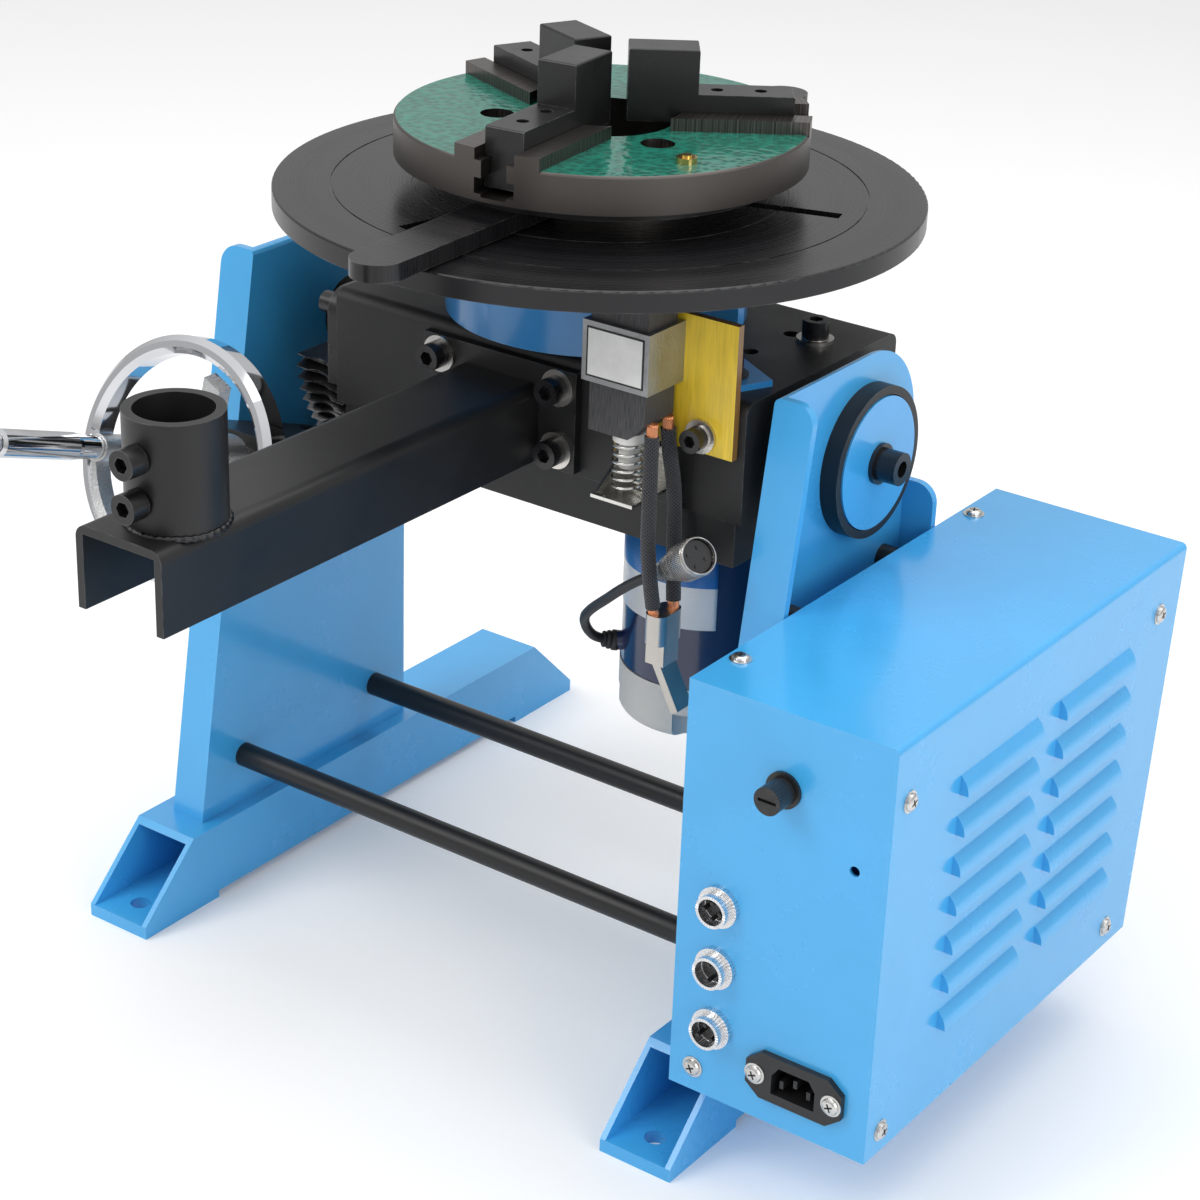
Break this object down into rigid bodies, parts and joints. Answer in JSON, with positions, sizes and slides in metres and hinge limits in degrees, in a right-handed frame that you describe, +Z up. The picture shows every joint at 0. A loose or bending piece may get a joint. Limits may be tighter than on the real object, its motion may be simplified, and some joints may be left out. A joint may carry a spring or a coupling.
{
  "type": "welding positioner",
  "caption": "Benchtop welding positioner: motor-driven turntable with three-jaw scroll chuck on a worm-tilted head, torch arm, earth brush and control box on a two-footed frame.",
  "frame": {"origin": "on the floor at the centre of the four foot bolts", "axes": "+X along the tilt axis towards the control box, -Y towards the torch arm, +Z up"},
  "size_m": [0.4732, 0.5384, 0.476],
  "materials": {
    "black_powder_coat": "fine texture",
    "sky_blue_paint": "satin",
    "navy_paint": "satin",
    "grey_paint": "satin",
    "black_oxide": "oiled",
    "chrome_rod": "polished",
    "ground_steel": "ground",
    "cast_iron": "machined",
    "nickel_plate": "satin",
    "chuck_green": "satin",
    "brass": "polished",
    "black_plastic": "matte",
    "white_plastic": "satin",
    "yellow_laminate": "satin",
    "graphite": "dull",
    "black_rubber": "matte",
    "circuit_board": "satin"
  },
  "bodies": {
    "frame": {"left_foot": "sky_blue_paint", "right_foot": "sky_blue_paint", "left_side_plate": "sky_blue_paint", "right_side_plate": "sky_blue_paint", "tilt_bushes": "black_oxide", "crossbars": "black_oxide", "frame_fasteners": "black_oxide", "box_standoffs": "black_oxide", "worm_bracket": "black_powder_coat", "box_base": "sky_blue_paint", "box_cover": "sky_blue_paint", "fuse_holder": "black_plastic", "power_inlet": "black_plastic", "panel_sockets": "nickel_plate", "switch_frames": "black_plastic", "control_electronics": "circuit_board"},
    "tilt_head": {"head_cover": "black_powder_coat", "head_base": "black_powder_coat", "right_trunnion": "ground_steel", "tilt_caps": "sky_blue_paint", "head_bolts": "black_oxide", "spindle_housing": "sky_blue_paint", "spindle_bearings": "ground_steel", "motor_case": "navy_paint", "motor_end_cap": "grey_paint", "sector_gear": "cast_iron", "arm_plate": "black_powder_coat", "torch_arm": "black_powder_coat", "torch_collar": "black_oxide", "clamp_screws": "black_oxide", "insulating_plate": "yellow_laminate", "brush_sleeve": "ground_steel", "brush_spring": "ground_steel", "spring_seat": "nickel_plate", "motor_plug": "nickel_plate", "plug_insert": "black_plastic", "motor_cable": "black_rubber"},
    "rotary_table": {"spindle_shaft": "ground_steel", "spindle_gear": "cast_iron", "turntable": "black_oxide", "chuck_body": "chuck_green", "chuck_bolts": "black_oxide", "grease_nipple": "brass"},
    "scroll": {"scroll_lever": "black_oxide"},
    "first_jaw": {"jaw_1": "black_oxide"},
    "second_jaw": {"jaw_2": "black_oxide"},
    "third_jaw": {"jaw_3": "black_oxide"},
    "pinion": {"motor_pinion": "ground_steel"},
    "worm": {"worm_shaft": "ground_steel", "handwheel": "chrome_rod"},
    "grip": {"crank_grip": "chrome_rod"},
    "earth_brush": {"carbon_brush": "graphite", "brush_pin": "white_plastic", "front_brush_lead": "black_rubber", "rear_brush_lead": "black_rubber", "lead_lug": "nickel_plate"},
    "fuse": {"fuse_cap": "black_plastic"},
    "knob": {"speed_knob": "black_plastic"},
    "power_switch": {"power_rocker": "black_plastic"},
    "direction_switch": {"direction_rocker": "black_plastic"}
  },
  "joints": [
    {"name": "tilt", "type": "hinge", "parent": "frame", "child": "tilt_head", "pos_m": [0, -0.011, 0.3], "axis": [-1, 0, 0], "range_deg": [0, 90]},
    {"name": "worm_turn", "type": "hinge", "parent": "frame", "child": "worm", "pos_m": [-0.119, -0.03591, 0.22767], "axis": [0, -0.9455, 0.3256], "range_deg": [-5760, 0]},
    {"name": "crank_grip_spin", "type": "hinge", "parent": "worm", "child": "grip", "pos_m": [-0.16565, -0.1796, 0.27109], "axis": [0, -0.9455, 0.3256], "continuous": true},
    {"name": "table_spin", "type": "hinge", "parent": "tilt_head", "child": "rotary_table", "pos_m": [0.017, -0.03, 0.4], "axis": [0, 0, 1], "continuous": true},
    {"name": "pinion_spin", "type": "hinge", "parent": "tilt_head", "child": "pinion", "pos_m": [0.087, -0.03, 0.307], "axis": [0, 0, 1], "continuous": true},
    {"name": "scroll_turn", "type": "hinge", "parent": "rotary_table", "child": "scroll", "pos_m": [0.017, -0.03, 0.42], "axis": [0, 0, 1], "range_deg": [-180, 1350]},
    {"name": "first_jaw_slide", "type": "slide", "parent": "rotary_table", "child": "first_jaw", "axis": [0.1115, -0.9938, 0], "range_m": [-0.0041, 0.0301]},
    {"name": "second_jaw_slide", "type": "slide", "parent": "rotary_table", "child": "second_jaw", "axis": [0.8049, 0.5934, 0], "range_m": [-0.0041, 0.0301]},
    {"name": "third_jaw_slide", "type": "slide", "parent": "rotary_table", "child": "third_jaw", "axis": [-0.9164, 0.4003, 0], "range_m": [-0.0041, 0.0301]},
    {"name": "brush_slide", "type": "slide", "parent": "tilt_head", "child": "earth_brush", "axis": [0, 0, 1], "range_m": [-0.004, 0], "stiffness_N_per_m": 700, "springref_m": 0.006, "deforming": ["brush_spring"]},
    {"name": "fuse_cap_turn", "type": "hinge", "parent": "frame", "child": "fuse", "pos_m": [0.228, -0.18, 0.2182], "axis": [0, -1, 0], "range_deg": [0, 90]},
    {"name": "speed_knob_turn", "type": "hinge", "parent": "frame", "child": "knob", "pos_m": [0.2272, 0.09045, 0.1982], "axis": [0, 0.9962, -0.0867], "range_deg": [0, 300]},
    {"name": "power_rocker_tilt", "type": "hinge", "parent": "frame", "child": "power_switch", "pos_m": [0.2272, 0.08575, 0.1442], "axis": [1, 0, 0], "range_deg": [0, 16]},
    {"name": "direction_rocker_tilt", "type": "hinge", "parent": "frame", "child": "direction_switch", "pos_m": [0.2272, 0.09315, 0.2292], "axis": [1, 0, 0], "range_deg": [-8, 8]}
  ],
  "couplings": [
    {"joint": "worm_turn", "follows": "tilt", "ratio": -64},
    {"joint": "pinion_spin", "follows": "table_spin", "ratio": -4},
    {"joint": "first_jaw_slide", "follows": "scroll_turn", "m_per_rad": 0.0012732},
    {"joint": "second_jaw_slide", "follows": "scroll_turn", "m_per_rad": 0.0012732},
    {"joint": "third_jaw_slide", "follows": "scroll_turn", "m_per_rad": 0.0012732}
  ]
}
